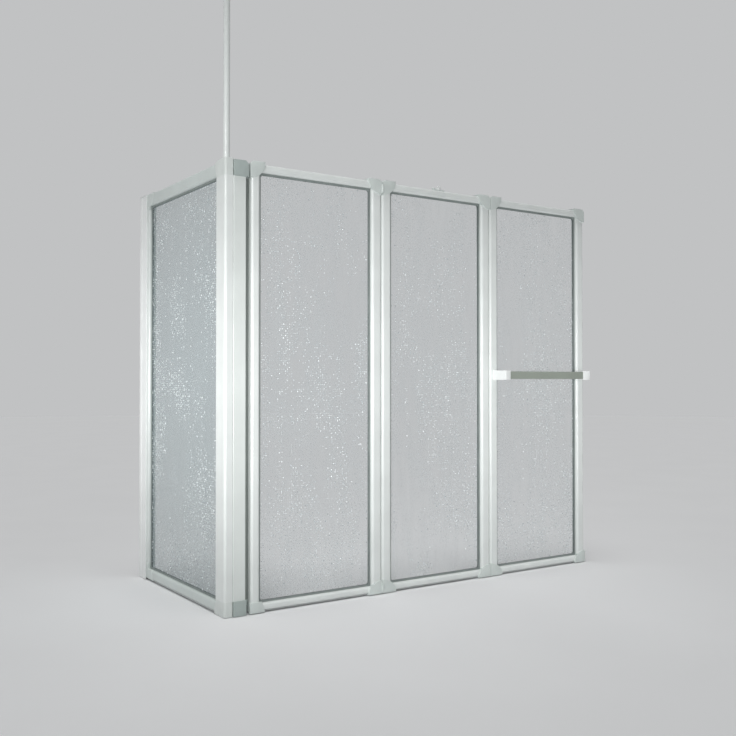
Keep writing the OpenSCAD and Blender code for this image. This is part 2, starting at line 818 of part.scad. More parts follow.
// Tongue of the cap or foot in the post, from z0 to z1, and in the rail, from z2 to z3
module corner_tongues(z0, z1, z2, z3) {
    translate([pole_back + pole_r + 2 * wall + fit_gap, edge_wall + fit_gap, z0])
        cube([post_w - slot_d - wall - pole_back - pole_r - 2 * wall - 2 * fit_gap,
            side_t - 2 * edge_wall - 2 * fit_gap, z1 - z0]);
    translate([post_w - cap_lean, edge_wall + fit_gap, z2])
        cube([cap_over + tongue, side_t - 2 * edge_wall - 2 * fit_gap, z3 - z2]);
}

module corner_cap() {
    color(bracket_grey) placed() difference() {
        as_side() union() {
            difference() {
                intersection() {
                    linear_extrude(bracket_top) post_plan(post_w + cap_over);
                    prism(cap_outline(), 0, side_t);
                }
                side_room();
            }
            corner_tongues(cap_z - tongue, cap_z + 1, frame_h - side_top_rail_h + slot_d + wall + fit_gap,
                frame_h - edge_wall - fit_gap);
        }
        translate([pole_in, pole_back, cap_z - eps]) cylinder(r = pole_r + slide_fit, h = bracket_top);
        translate([side_t + eps, pole_back, grub_z]) rotate([0, -90, 0])
            cylinder(r = grub_r, h = side_t - pole_in);
    }
}

module corner_foot() {
    color(cap_grey) placed() as_side() {
        difference() {
            intersection() {
                linear_extrude(foot_h) post_plan(post_w + cap_over);
                prism(foot_outline(), 0, side_t);
            }
            side_room();
        }
        corner_tongues(foot_h - 1, foot_h + tongue, seal_h + edge_wall + fit_gap,
            side_opening_z - slot_d - wall - fit_gap);
    }
}

module side_rail(h) {
    rail_blank(side_opening_w, 0, 0, h, side_t);
}

// Outlines of the wall end's brackets, from the wall profile's edge towards the post
module rear_bracket_prisms(y0, y1) {
    translate([side_d - wall_profile_d, 0, 0]) mirror([1, 0, 0]) {
        prism(corner_outline(rear_bracket_w, -rear_bracket_h, frame_h), y0, y1);
        prism(corner_outline(rear_bracket_w, rear_bracket_h, seal_h), y0, y1);
    }
}

module side_top_rail() {
    color(frame_white) placed() as_side() difference() {
        translate([post_w, 0, frame_h]) mirror([0, 0, 1]) side_rail(side_top_rail_h);
        prism(cap_outline(), -eps, side_t + eps);
        rear_bracket_prisms(-eps, side_t + eps);
    }
}

module side_bottom_rail() {
    color(frame_white) placed() as_side() difference() {
        translate([post_w, 0, seal_h]) side_rail(side_bottom_rail_h);
        prism(foot_outline(), -eps, side_t + eps);
        rear_bracket_prisms(-eps, side_t + eps);
    }
}

module side_rear_stile() {
    color(frame_white) placed() as_side() difference() {
        translate([rear_stile_y + rear_stile_w, 0, seal_h]) mirror([1, 0, 0])
            linear_extrude(frame_h - seal_h) frame_section(rear_stile_w, side_t);
        rear_bracket_prisms(-eps, side_t + eps);
    }
}

module side_rear_brackets() {
    color(bracket_grey) placed() as_side() difference() {
        rear_bracket_prisms(0, side_t);
        translate([rear_stile_y, 0, 0]) mirror([1, 0, 0])
            opening_room(0, side_opening_z, side_opening_z + side_opening_h, side_t, side_slot_y);
    }
}

module at_side_opening() {
    placed() as_side() translate([post_w, 0, side_opening_z]) children();
}

module side_glazing() {
    color("#b9c4cc", 0.4) at_side_opening() sheet(side_opening_w, side_opening_h, side_slot_y);
}

module side_gasket() {
    color("#6a7270") at_side_opening() gasket_ring(side_opening_w, side_opening_h, side_slot_y);
}

module side_seal() {
    color("#9aa5a3") placed() as_side() translate([post_w + cap_over + fit_gap, (side_t - seal_w) / 2, 0])
        cube([rear_stile_y + rear_stile_w - post_w - cap_over - fit_gap, seal_w, seal_h]);
}

// Channel on the wall, open towards the room, with two raised bands on each side and four screw holes
module wall_profile() {
    color(frame_white) placed() difference() {
        as_side() linear_extrude(wall_profile_h) difference() {
            union() {
                translate([side_d - wall_profile_d, -wall_profile_t])
                    square([wall_profile_d, side_t + 2 * wall_profile_t]);
                for (y = [-wall_profile_t - band_t, side_t + wall_profile_t]) {
                    translate([side_d - wall_profile_d, y]) square([band_w, band_t]);
                    translate([side_d - 2 * band_w, y]) square([2 * band_w, band_t]);
                }
            }
            translate([side_d - wall_profile_d - eps, -slide_fit])
                square([wall_profile_d - wall_profile_t, side_t + 2 * slide_fit]);
        }
        for (z = wall_hole_z) translate([side_t / 2, side_d + eps, z]) rotate([90, 0, 0])
            cylinder(r = wall_hole_r, h = 2 * wall_profile_t);
    }
}

module wall_profile_cap() {
    stile_end = rear_stile_y + rear_stile_w + fit_gap;
    color(bracket_grey) placed() as_side() {
        difference() {
            translate([side_d - wall_profile_d, -wall_profile_t - band_t, wall_profile_h])
                cube([wall_profile_d, side_t + 2 * (wall_profile_t + band_t), cap_plate_t]);
            translate([0, -fit_gap, wall_profile_h - eps])
                cube([stile_end, side_t + 2 * fit_gap, cap_plate_t + 2 * eps]);
        }
        translate([stile_end, fit_gap, wall_profile_h - cap_plug])
            cube([side_d - wall_profile_t - stile_end - fit_gap, side_t - 2 * fit_gap, cap_plug + eps]);
    }
}

// Hinge profile beside the post

module hinge_profile() {
    color(frame_white) placed() difference() {
        translate([hinge_profile_x, 0, foot_h]) linear_extrude(cap_z - foot_h) difference() {
            rounded_section(hinge_profile_w, frame_t, hinge_profile_r, inner_shoulder_r);
            translate([wall, wall]) square([hinge_profile_w - 2 * wall, frame_t - 2 * wall]);
        }
        for (z = profile_screw_z) translate([hinge_profile_x - eps, profile_screw_y, z]) rotate([0, 90, 0]) {
            cylinder(r = profile_screw_r + fit_gap, h = 2 * wall);
            translate([0, 0, hinge_profile_w - 2 * wall])
                cylinder(r = profile_screw_head_r + 2 * fit_gap, h = 2 * wall + 2 * eps);
        }
    }
}

// The screws that hold the hinge profile to the post, and the set screw that holds the pole in the cap
module corner_screws() {
    color("#cfd2d3") placed() {
        for (z = profile_screw_z) translate([hinge_profile_x + wall, profile_screw_y, z]) rotate([0, 90, 0]) {
            translate([0, 0, -profile_screw_in - wall])
                cylinder(r = profile_screw_r, h = profile_screw_in + wall + eps);
            cylinder(r = profile_screw_head_r, h = profile_screw_head_t);
        }
        translate([pole_in + pole_r + slide_fit / 2, pole_back, grub_z]) rotate([0, 90, 0])
            cylinder(r = grub_r - run_fit, h = side_t - pole_in - pole_r - fit_gap);
    }
}

// One cap of the hinge profile from z0 to z1 with its eye at height eye_z. Its front reaches over the gap by
// over, and its plug enters the profile at plug_z.
module hinge_cap(points, over, z0, z1, plug_z, eye_z, bore_z) {
    x1 = hinge_profile_x + hinge_profile_w;
    difference() {
        union() {
            translate([x1 + over, 0, 0]) mirror([1, 0, 0]) prism(points, -bracket_front, over_depth);
            translate([hinge_profile_x + hinge_cap_groove, over_depth - eps, z0])
                cube([hinge_profile_w - hinge_cap_groove, frame_t - over_depth + eps, z1 - z0]);
            translate([hinge_profile_x + wall + fit_gap, wall + fit_gap, plug_z])
                cube([hinge_profile_w - 2 * wall - 2 * fit_gap, frame_t - 2 * wall - 2 * fit_gap, hinge_plug]);
            translate([rod_x, rod_back, eye_z]) cylinder(r = eye_r, h = eye_h);
            translate([x1 - wall, rod_back - eye_r, eye_z]) cube([rod_x - x1 + wall, 2 * eye_r, eye_h]);
        }
        translate([rod_x, rod_back, bore_z]) cylinder(r = rod_r + run_fit, h = eye_h - rod_end + eps);
    }
}

module hinge_caps() {
    top_w = hinge_profile_w + hinge_cap_over - hinge_cap_groove;
    foot_w = hinge_profile_w + hinge_foot_over - hinge_cap_groove;
    top_shoulder = shoulder(bracket_shoulder_w, bracket_shoulder_h, hinge_cap_top);
    color(cap_grey) placed() {
        hinge_cap(concat([[0, cap_z]], top_shoulder, [[top_w, hinge_cap_top], [top_w, cap_z]]), hinge_cap_over,
            cap_z, hinge_cap_top - hinge_cap_step, cap_z - hinge_plug + eps, eye_high_z, eye_high_z - eps);
        hinge_cap([[0, 0], [0, foot_h], [foot_w, foot_h], [foot_w, 0]], hinge_foot_over,
            0, foot_h, foot_h - eps, eye_low_z, eye_low_z + rod_end);
    }
}

module hinge_rod() {
    color("#b9bec0") placed() translate([rod_x, rod_back, eye_low_z + rod_end])
        cylinder(r = rod_r, h = eye_high_z + eye_h - rod_end - eye_low_z - rod_end - fit_gap);
}

// Pole. Its axis is the model's own Z axis.

module pole_tube(z0, z1) {
    color("#eceeec") translate([0, 0, z0]) difference() {
        cylinder(r = pole_r, h = z1 - z0);
        translate([0, 0, -eps]) cylinder(r = pole_r - pole_wall, h = z1 - z0 + 2 * eps);
    }
}

module pole_lower() {
    pole_tube(frame_h - pole_depth, pole_joint_z);
}

module pole_upper() {
    pole_tube(pole_joint_z, ceiling_z - flange_t - fit_gap);
}

module pole_spigot() {
    color("#b9bec0") translate([0, 0, pole_joint_z - spigot_l / 2])
        cylinder(r = pole_r - pole_wall - run_fit, h = spigot_l);
}

module ceiling_flange() {
    color(bracket_grey) difference() {
        union() {
            translate([0, 0, ceiling_z - flange_t]) cylinder(r = flange_r, h = flange_t);
            translate([0, 0, ceiling_z - flange_t - socket_h])
                cylinder(r = pole_r + socket_wall, h = socket_h + eps);
        }
        translate([0, 0, ceiling_z - flange_t - socket_h - eps])
            cylinder(r = pole_r + slide_fit, h = socket_h + eps);
        for (a = [90:120:330]) rotate([0, 0, a]) translate([flange_hole_pcr, 0, ceiling_z - flange_t - eps])
            cylinder(r = flange_hole_r, h = flange_t + 2 * eps);
    }
}

module ceiling_cover() {
    color("#eceeec") translate([0, 0, ceiling_z - cover_h]) difference() {
        cylinder(r = flange_r + cover_t + fit_gap, h = cover_h - fit_gap);
        translate([0, 0, cover_t]) cylinder(r = flange_r + fit_gap, h = cover_h);
        translate([0, 0, -eps]) cylinder(r = pole_r + socket_wall + fit_gap, h = cover_t + 2 * eps);
    }
}

wall_profile();
wall_profile_cap();
side_rear_stile();
side_top_rail();
side_bottom_rail();
side_rear_brackets();
side_glazing();
side_gasket();
side_seal();
corner_post();
corner_cap();
corner_foot();
pole_lower();
pole_upper();
pole_spigot();
ceiling_flange();
ceiling_cover();
hinge_profile();
hinge_caps();
hinge_rod();
hinge_knuckle();
corner_screws();
for (i = [1:3]) {
    panel_left_stile(i);
    panel_right_stile(i);
    panel_top_rail(i);
    panel_bottom_rail(i);
    panel_glazing(i);
    panel_gasket(i);
    panel_top_brackets(i);
    panel_bottom_brackets(i);
    panel_seal(i);
    panel_screws(i);
}
seam_strip(panel_x(1) + panel_w(1), strip_1_y);  // seam_strip_1
seam_strip(panel_x(2) + panel_w(2), strip_2_y);  // seam_strip_2
hinge_pins(seam_1_x, hinge_1_y);  // hinge_pins_1
hinge_pins(seam_2_x, hinge_2_y);  // hinge_pins_2
catch_base();
catch_lever();
towel_bar();
towel_bar_brackets();
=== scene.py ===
"""Looks of a corner bath screen: a fixed side panel, a ceiling pole and folding panels with a towel bar."""

import json
import logging
import math
import random
from dataclasses import dataclass
from enum import Enum
from typing import Any, Dict, Iterable, List, Tuple, Union

import bmesh
import bpy
from mathutils import Matrix, Vector, noise

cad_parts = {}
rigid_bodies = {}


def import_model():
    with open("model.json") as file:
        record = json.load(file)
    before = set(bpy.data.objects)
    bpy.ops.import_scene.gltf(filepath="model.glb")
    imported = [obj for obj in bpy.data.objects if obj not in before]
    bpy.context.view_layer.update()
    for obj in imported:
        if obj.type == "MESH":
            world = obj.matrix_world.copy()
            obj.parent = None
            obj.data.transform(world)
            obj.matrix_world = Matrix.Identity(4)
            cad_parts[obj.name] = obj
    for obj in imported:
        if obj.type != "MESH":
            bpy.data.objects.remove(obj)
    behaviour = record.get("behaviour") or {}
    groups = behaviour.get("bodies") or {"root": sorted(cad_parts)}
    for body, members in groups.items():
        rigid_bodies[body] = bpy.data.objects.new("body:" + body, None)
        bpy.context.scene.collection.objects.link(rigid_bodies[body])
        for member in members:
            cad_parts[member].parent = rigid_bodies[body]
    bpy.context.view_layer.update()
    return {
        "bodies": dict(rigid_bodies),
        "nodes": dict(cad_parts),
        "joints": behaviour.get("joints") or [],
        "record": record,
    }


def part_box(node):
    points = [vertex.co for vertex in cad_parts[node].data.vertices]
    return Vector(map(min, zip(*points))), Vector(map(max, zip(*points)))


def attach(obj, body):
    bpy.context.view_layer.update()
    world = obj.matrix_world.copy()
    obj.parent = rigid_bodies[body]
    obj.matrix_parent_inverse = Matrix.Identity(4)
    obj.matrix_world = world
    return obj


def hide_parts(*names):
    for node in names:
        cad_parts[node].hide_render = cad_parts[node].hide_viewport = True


log = logging.getLogger("bath_screen")

Colour = Tuple[float, float, float, float]
Point = Tuple[float, float, float]
Operand = Union[float, "Value"]
Socket = Union[int, str]
Frame = Dict[str, Any]
Ring = Tuple[int, ...]

MILLIMETRE = 0.001
UP = Vector((0.0, 0.0, 1.0))
PLASTIC_IOR = 1.49

# How the edges of a moulding are rounded: vertices closer than WELD are one, faces that meet at less than FLAT
# are one, and edges sharper than SHARP get a rounding of ROUND_STEPS faces. Those above CREASE look sharp.
WELD = 0.01 * MILLIMETRE
FLAT = math.radians(1.0)
SHARP = math.radians(40.0)
CREASE = math.radians(38.0)
ROUND_STEPS = 2
ROUND_FORM = 0.6


def as_seen(red: int, green: int, blue: int) -> Colour:
    """Turns a colour as it looks on a screen into the linear colour that a shader takes.

    Args:
        red: Red, from 0 to 255.
        green: Green, from 0 to 255.
        blue: Blue, from 0 to 255.

    Returns:
        The linear colour with an alpha of 1.
    """
    def linear(level: int) -> float:
        """Undoes the screen's curve for one channel."""
        share = level / 255
        return share / 12.92 if share <= 0.04045 else ((share + 0.055) / 1.055) ** 2.4

    return linear(red), linear(green), linear(blue), 1.0


class Value:
    """A number in a shader. Python's operators on it add Math nodes."""

    def __init__(self, tree: "ShaderTree", socket: bpy.types.NodeSocket) -> None:
        """Keeps the output socket and the tree that it is in."""
        self.tree = tree
        self.socket = socket

    def maths(self, operation: str, first: Operand, second: Operand) -> "Value":
        """Adds a Math node.

        Args:
            operation: The node's operation.
            first: Its first operand.
            second: Its second operand.

        Returns:
            The node's result.
        """
        return self.tree.add("ShaderNodeMath", {"operation": operation}, {0: first, 1: second})

    def __add__(self, other: Operand) -> "Value":
        """Adds a number or a value."""
        return self.maths("ADD", self, other)

    __radd__ = __add__

    def __mul__(self, other: Operand) -> "Value":
        """Multiplies by a number or a value."""
        return self.maths("MULTIPLY", self, other)

    __rmul__ = __mul__

    def __sub__(self, other: Operand) -> "Value":
        """Takes away a number or a value."""
        return self.maths("SUBTRACT", self, other)

    def __rsub__(self, other: Operand) -> "Value":
        """Takes this value away from a number."""
        return self.maths("SUBTRACT", other, self)


class ShaderTree:
    """The node tree of a material or of the world."""

    def __init__(self, owner: Any) -> None:
        """Empties the tree of a material or world, so that it can be built.

        Args:
            owner: The material or world.
        """
        owner.use_nodes = True
        self.nodes = owner.node_tree.nodes
        self.links = owner.node_tree.links
        self.nodes.clear()

    def add(self, kind: str, settings: Dict[str, Any], inputs: Dict[Socket, Any], output: Socket = 0) -> Value:
        """Adds any node.

        Args:
            kind: The node's type.
            settings: Properties that are set first.
            inputs: A number, a colour or a Value for each input, by name or number.
            output: The name or number of the output that is returned.

        Returns:
            The chosen output.
        """
        node = self.nodes.new(kind)
        for name, setting in settings.items():
            setattr(node, name, setting)
        for name, given in inputs.items():
            if isinstance(given, Value):
                self.links.new(given.socket, node.inputs[name])
            else:
                node.inputs[name].default_value = given
        return Value(self, node.outputs[output] if node.outputs else None)

    def place(self, stretch: Point) -> Value:
        """Gives the object's own coordinates, stretched.

        Args:
            stretch: What each coordinate, in metres, is multiplied by.

        Returns:
            The stretched coordinates.
        """
        where = self.add("ShaderNodeTexCoord", {}, {}, "Object")
        return self.add("ShaderNodeVectorMath", {"operation": "MULTIPLY"}, {0: where, 1: stretch})

    def noise(self, stretch: Point, detail: float = 2.0) -> Value:
        """Gives a cloudy value from 0 to 1.

        Args:
            stretch: The number of clouds in a metre, along each axis.
            detail: How many finer layers it has.

        Returns:
            The cloudiness.
        """
        return self.add("ShaderNodeTexNoise", {}, {"Vector": self.place(stretch), "Scale": 1.0, "Detail": detail})

    def steps(self, value: Value, low: float, high: float) -> Value:
        """Spreads a value from low to high over 0 to 1 and clips the rest."""
        return self.add("ShaderNodeMapRange", {"clamp": True}, {0: value, 1: low, 2: high, 3: 0.0, 4: 1.0})

    def mix(self, share: Value, first: Colour, second: Colour) -> Value:
        """Mixes two colours. The Mix node's sockets for colours are its inputs 6 and 7 and its output 2.

        Args:
            share: How much of the second colour shows.
            first: The colour where share is 0.
            second: The colour where share is 1.

        Returns:
            The mixed colour.
        """
        return self.add("ShaderNodeMix", {"data_type": "RGBA"}, {0: share, 6: first, 7: second}, 2)

    def bump(self, height: Value, depth: float) -> Value:
        """Turns a height from 0 to 1 into a normal.

        Args:
            height: The height at each point.
            depth: What a height of 1 stands for, in metres.

        Returns:
            The normal.
        """
        return self.add("ShaderNodeBump", {}, {"Height": height, "Distance": depth, "Strength": 1.0})


def scaled(colour: Colour, share: float) -> Colour:
    """Makes a colour darker or paler by a share, and leaves its alpha."""
    return colour[0] * share, colour[1] * share, colour[2] * share, colour[3]


@dataclass(frozen=True)
class Clouds:
    """A soft pattern that comes and goes over a surface.

    Attributes:
        pitch: Clouds in a metre along X, Y and Z.
        low: Cloudiness where the pattern begins.
        high: Cloudiness where it is full.
        detail: How many finer layers it has.
    """

    pitch: Point
    low: float
    high: float
    detail: float = 2.0

    def over(self, tree: ShaderTree) -> Value:
        """Adds the pattern to a tree, as a value from 0 to 1."""
        return tree.steps(tree.noise(self.pitch, self.detail), self.low, self.high)


@dataclass(frozen=True)
class Finish:
    """How one kind of surface looks.

    Attributes:
        name: The material's name.
        colour: Its main colour.
        roughness: Its middle roughness.
    """

    name: str
    colour: Colour
    roughness: float

    def surface(self, tree: ShaderTree) -> Dict[str, Any]:
        """Gives the shader's inputs. Each finish has its own."""
        raise NotImplementedError

    def uneven(self, *causes: Tuple[Value, float]) -> Value:
        """Varies the roughness round its middle.

        Args:
            causes: Pairs of a value from 0 to 1 and the roughness that it adds where it is 1.

        Returns:
            The roughness, which is the middle one where each value is a half.
        """
        total: Operand = self.roughness - sum(share for _, share in causes) / 2
        for value, share in causes:
            total = value * share + total
        return total

    def material(self) -> bpy.types.Material:
        """Builds the material the first time that it is asked for.

        Returns:
            The material.
        """
        if self.name in bpy.data.materials:
            return bpy.data.materials[self.name]
        made = bpy.data.materials.new(self.name)
        tree = ShaderTree(made)
        shader = tree.add("ShaderNodeBsdfPrincipled", {}, self.surface(tree))
        tree.add("ShaderNodeOutputMaterial", {}, {"Surface": shader})
        return made


class Grain(Enum):
    """The way that a profile was drawn, as clouds in a metre along X, Y and Z."""

    ALONG_X = (6.0, 900.0, 900.0)
    ALONG_Y = (900.0, 6.0, 900.0)
    ALONG_Z = (900.0, 900.0, 6.0)


@dataclass(frozen=True)
class PowderCoat(Finish):
    """Satin white powder coat on a drawn aluminium profile: a fine skin with faint draw lines.

    Attributes:
        grain: The way that the profile runs.
        skin: Bumps of the coat in a metre.
        skin_depth: Height of those bumps, in millimetres.
        skin_share: Roughness that they add.
        line_depth: Height of the draw lines, in millimetres.
        clouds: Where the coat is thicker, paler and rougher.
        cloud_share: Roughness that the clouds add.
        thin: How dark the coat is where it is thin.
        gloss: Weight of the clear skin on the coat.
        gloss_roughness: Roughness of that skin.
    """

    grain: Grain = Grain.ALONG_Z
    skin: float = 620.0
    skin_depth: float = 0.10
    skin_share: float = 0.10
    line_depth: float = 0.03
    clouds: Clouds = Clouds((14.0, 14.0, 14.0), 0.35, 0.65)
    cloud_share: float = 0.04
    thin: float = 0.95
    gloss: float = 0.7
    gloss_roughness: float = 0.16

    def surface(self, tree: ShaderTree) -> Dict[str, Any]:
        """Gives the shader's inputs.

        Args:
            tree: The material's tree.

        Returns:
            A number, a colour or a value for each input.
        """
        skin = tree.noise((self.skin,) * 3, detail=3.0)
        lines = tree.noise(self.grain.value, detail=1.0)
        cloud = self.clouds.over(tree)
        return {
            "Base Color": tree.mix(cloud, scaled(self.colour, self.thin), self.colour),
            "Roughness": self.uneven((skin, self.skin_share), (cloud, self.cloud_share)),
            "Normal": tree.bump(skin * self.skin_depth + lines * self.line_depth, MILLIMETRE),
            "Coat Weight": self.gloss,
            "Coat Roughness": self.gloss_roughness,
        }


@dataclass(frozen=True)
class MouldedPlastic(Finish):
    """Satin moulded plastic with a fine spark-eroded grain.

    Attributes:
        grit: Grains in a metre.
        grit_depth: Height of the grains, in millimetres.
        grit_share: Roughness that they add.
        flow: Where the plastic flowed together, and is paler.
        dark: How dark it is elsewhere.
    """

    grit: float = 1500.0
    grit_depth: float = 0.09
    grit_share: float = 0.20
    flow: Clouds = Clouds((40.0, 40.0, 25.0), 0.3, 0.7)
    dark: float = 0.93

    def surface(self, tree: ShaderTree) -> Dict[str, Any]:
        """Gives the shader's inputs.

        Args:
            tree: The material's tree.

        Returns:
            A number, a colour or a value for each input.
        """
        grit = tree.noise((self.grit,) * 3, detail=4.0)
        return {
            "Base Color": tree.mix(self.flow.over(tree), scaled(self.colour, self.dark), self.colour),
            "Roughness": self.uneven((grit, self.grit_share)),
            "Normal": tree.bump(grit, self.grit_depth * MILLIMETRE),
        }


@dataclass(frozen=True)
class Elastomer(Finish):
    """Matt extruded rubber with a faint bloom along it.

    Attributes:
        dust: Grains in a metre.
        dust_depth: Height of the grains, in millimetres.
        dust_share: Roughness that they add.
        bloom: Where the rubber has turned paler.
        pale: How much paler it is there.
    """

    dust: float = 900.0
    dust_depth: float = 0.08
    dust_share: float = 0.20
    bloom: Clouds = Clouds((60.0, 60.0, 18.0), 0.35, 0.7)
    pale: float = 1.18

    def surface(self, tree: ShaderTree) -> Dict[str, Any]:
        """Gives the shader's inputs.

        Args:
            tree: The material's tree.

        Returns:
            A number, a colour or a value for each input.
        """
        dust = tree.noise((self.dust,) * 3, detail=3.0)
        return {
            "Base Color": tree.mix(self.bloom.over(tree), self.colour, scaled(self.colour, self.pale)),
            "Roughness": self.uneven((dust, self.dust_share)),
            "Normal": tree.bump(dust, self.dust_depth * MILLIMETRE),
        }


@dataclass(frozen=True)
class BareMetal(Finish):
    """Plated steel or mill aluminium, with turning lines.

    Attributes:
        lines: Lines in a metre along X, Y and Z.
        line_depth: Height of the lines, in millimetres.
        line_share: Roughness that they add.
        stain: Where the metal is stained.
        dark: How dark it is there.
    """

    lines: Point = (1400.0, 1400.0, 90.0)
    line_depth: float = 0.05
    line_share: float = 0.22
    stain: Clouds = Clouds((120.0, 120.0, 120.0), 0.4, 0.75)
    dark: float = 0.82

    def surface(self, tree: ShaderTree) -> Dict[str, Any]:
        """Gives the shader's inputs.

        Args:
            tree: The material's tree.

        Returns:
            A number, a colour or a value for each input.
        """
        turned = tree.noise(self.lines)
        return {
            "Base Color": tree.mix(self.stain.over(tree), self.colour, scaled(self.colour, self.dark)),
            "Metallic": 1.0,
            "Roughness": self.uneven((turned, self.line_share)),
            "Normal": tree.bump(turned, self.line_depth * MILLIMETRE),
        }


@dataclass(frozen=True)
class ClearSheet(Finish):
    """Clear plastic sheet with a pebbled face: see-through, with a cool haze and fine raised specks.

    Attributes:
        haze: Share of the sheet's own colour where it is clear.
        speck: Further share on the specks, which carries their painted glint.
        drip: Specks in a metre along X, Y and Z.
        core: How far a speck's full height reaches from its middle, in specks.
        rim: How far its foot reaches.
        patches: Where the specks stand close together.
        patch_share: How much of their number stands in the patches. The rest stands in the streaks.
        streaks: Upright streaks of specks and haze.
        streak_haze: Further share of colour in the streaks.
        speck_glint_colour: Colour of the specks, near white: a painted glint, for light caught on the raised specks.
        speck_depth: Their height, in millimetres.
        speck_share: Roughness that they add.
    """

    haze: float = 0.05
    speck: float = 0.60
    drip: Point = (260.0, 260.0, 170.0)
    core: float = 0.12
    rim: float = 0.34
    patches: Clouds = Clouds((9.0, 9.0, 5.0), 0.44, 0.62, 3.0)
    patch_share: float = 0.7
    streaks: Clouds = Clouds((34.0, 34.0, 7.0), 0.38, 0.66)
    streak_haze: float = 0.02
    speck_glint_colour: Colour = as_seen(244, 250, 251)
    speck_depth: float = 0.6
    speck_share: float = 0.10

    def surface(self, tree: ShaderTree) -> Dict[str, Any]:
        """Gives the shader's inputs.

        Args:
            tree: The material's tree.

        Returns:
            A number, a colour or a value for each input.
        """
        cells = tree.add("ShaderNodeTexVoronoi", {"feature": "F1"}, {"Vector": tree.place(self.drip), "Scale": 1.0})
        specks = 1.0 - tree.steps(cells, self.core, self.rim)
        streaks = self.streaks.over(tree)
        wet = specks * (self.patches.over(tree) * self.patch_share + streaks * (1.0 - self.patch_share))
        return {
            # The specks' near white colour and opacity are a painted glint; their bump and roughness are the real
            # pebbling.
            "Base Color": tree.mix(wet, self.colour, self.speck_glint_colour),
            "Roughness": wet * self.speck_share + self.roughness,
            "Alpha": wet * self.speck + streaks * self.streak_haze + self.haze,
            "Normal": tree.bump(wet, self.speck_depth * MILLIMETRE),
            "IOR": PLASTIC_IOR,
        }


@dataclass(frozen=True)
class ClearDrop(Finish):
    """The raised drops on the sheet, of the same clear plastic.

    Attributes:
        glints: Where the drops are painted near white and more opaque: a painted glint, for light caught on them.
        glint_colour: Their painted glint colour there.
        glint_roughness: Roughness that is added there.
        veil: Share of the drops' own colour where they are clear.
        glint_opacity: Further share where the glint is painted.
    """

    glints: Clouds = Clouds((170.0, 170.0, 170.0), 0.36, 0.62, 1.0)
    glint_colour: Colour = as_seen(247, 252, 253)
    glint_roughness: float = 0.08
    veil: float = 0.30
    glint_opacity: float = 0.62

    def surface(self, tree: ShaderTree) -> Dict[str, Any]:
        """Gives the shader's inputs.

        Args:
            tree: The material's tree.

        Returns:
            A number, a colour or a value for each input.
        """
        glints = self.glints.over(tree)
        return {
            # The near white patches are a painted glint on the clear drops.
            "Base Color": tree.mix(glints, self.colour, self.glint_colour),
            "Roughness": glints * self.glint_roughness + self.roughness,
            "Alpha": glints * self.glint_opacity + self.veil,
            "IOR": PLASTIC_IOR,
        }


@dataclass(frozen=True)
class FloorPaint(Finish):
    """Matt floor paint with a faint mottle.

    Attributes:
        mottle: Where the paint is pale.
        dark: How dark it is elsewhere.
        shine: Its specular level.
    """

    mottle: Clouds = Clouds((3.0, 3.0, 3.0), 0.3, 0.7)
    dark: float = 0.985
    shine: float = 0.1

    def surface(self, tree: ShaderTree) -> Dict[str, Any]:
        """Gives the shader's inputs.

        Args:
            tree: The material's tree.

        Returns:
            A number, a colour or a value for each input.
        """
        return {
            "Base Color": tree.mix(self.mottle.over(tree), scaled(self.colour, self.dark), self.colour),
            "Roughness": self.roughness,
            "Specular IOR Level": self.shine,
        }


WHITE = as_seen(231, 236, 234)
SATIN = 0.36
STILE_COAT = PowderCoat("white_coat_along_z", WHITE, SATIN, Grain.ALONG_Z)
RAIL_COAT = PowderCoat("white_coat_along_x", WHITE, SATIN, Grain.ALONG_X)
# A paler copy of WHITE on the same coat: painted light, for the brighter lit face of the wall profile.
WALL_LIT_COAT = PowderCoat("wall_profile_painted_light_coat", as_seen(245, 248, 247), SATIN, Grain.ALONG_Z)
# A greyer copy of WHITE on the same coat: painted shade, for the side panel's rails, which face away from the key
# light.
SIDE_RAIL_SHADED_COAT = PowderCoat("side_rail_painted_shade_coat", as_seen(206, 215, 212), SATIN, Grain.ALONG_Y)
# A greyer copy of WHITE on the same coat: painted shade, for the rear stile in the shadow of the wall profile.
REAR_STILE_SHADED_COAT = PowderCoat("rear_stile_painted_shade_coat", as_seen(214, 220, 218), SATIN, Grain.ALONG_Z)
# A slightly greyer copy of WHITE on the same coat: painted shade, for the hinge profile's front, which looks darker
# than the stiles.
HINGE_SHADED_COAT = PowderCoat("hinge_profile_painted_shade_coat", as_seen(226, 232, 229), SATIN, Grain.ALONG_Z)
BAR_COAT = PowderCoat("towel_bar_coat", as_seen(143, 151, 141), 0.30, Grain.ALONG_X)
BRACKET = MouldedPlastic("bracket_plastic", as_seen(215, 223, 220), 0.42)
CAP = MouldedPlastic("cap_plastic", as_seen(176, 187, 184), 0.42)
# Dark grey: painted shade, for the shadowed gap between the hinge profile and panel 1 in which the knuckle sits.
KNUCKLE_SHADE = MouldedPlastic("knuckle_painted_shade", as_seen(130, 138, 134), 0.50)
POST_CAP = MouldedPlastic("post_cap_plastic", as_seen(222, 228, 225), 0.38)
COVER = MouldedPlastic("cover_plastic", as_seen(224, 229, 227), 0.40)
BAR_END = MouldedPlastic("bar_end_plastic", as_seen(240, 243, 242), 0.38)
GASKET = Elastomer("gasket_rubber", as_seen(132, 140, 138), 0.62)
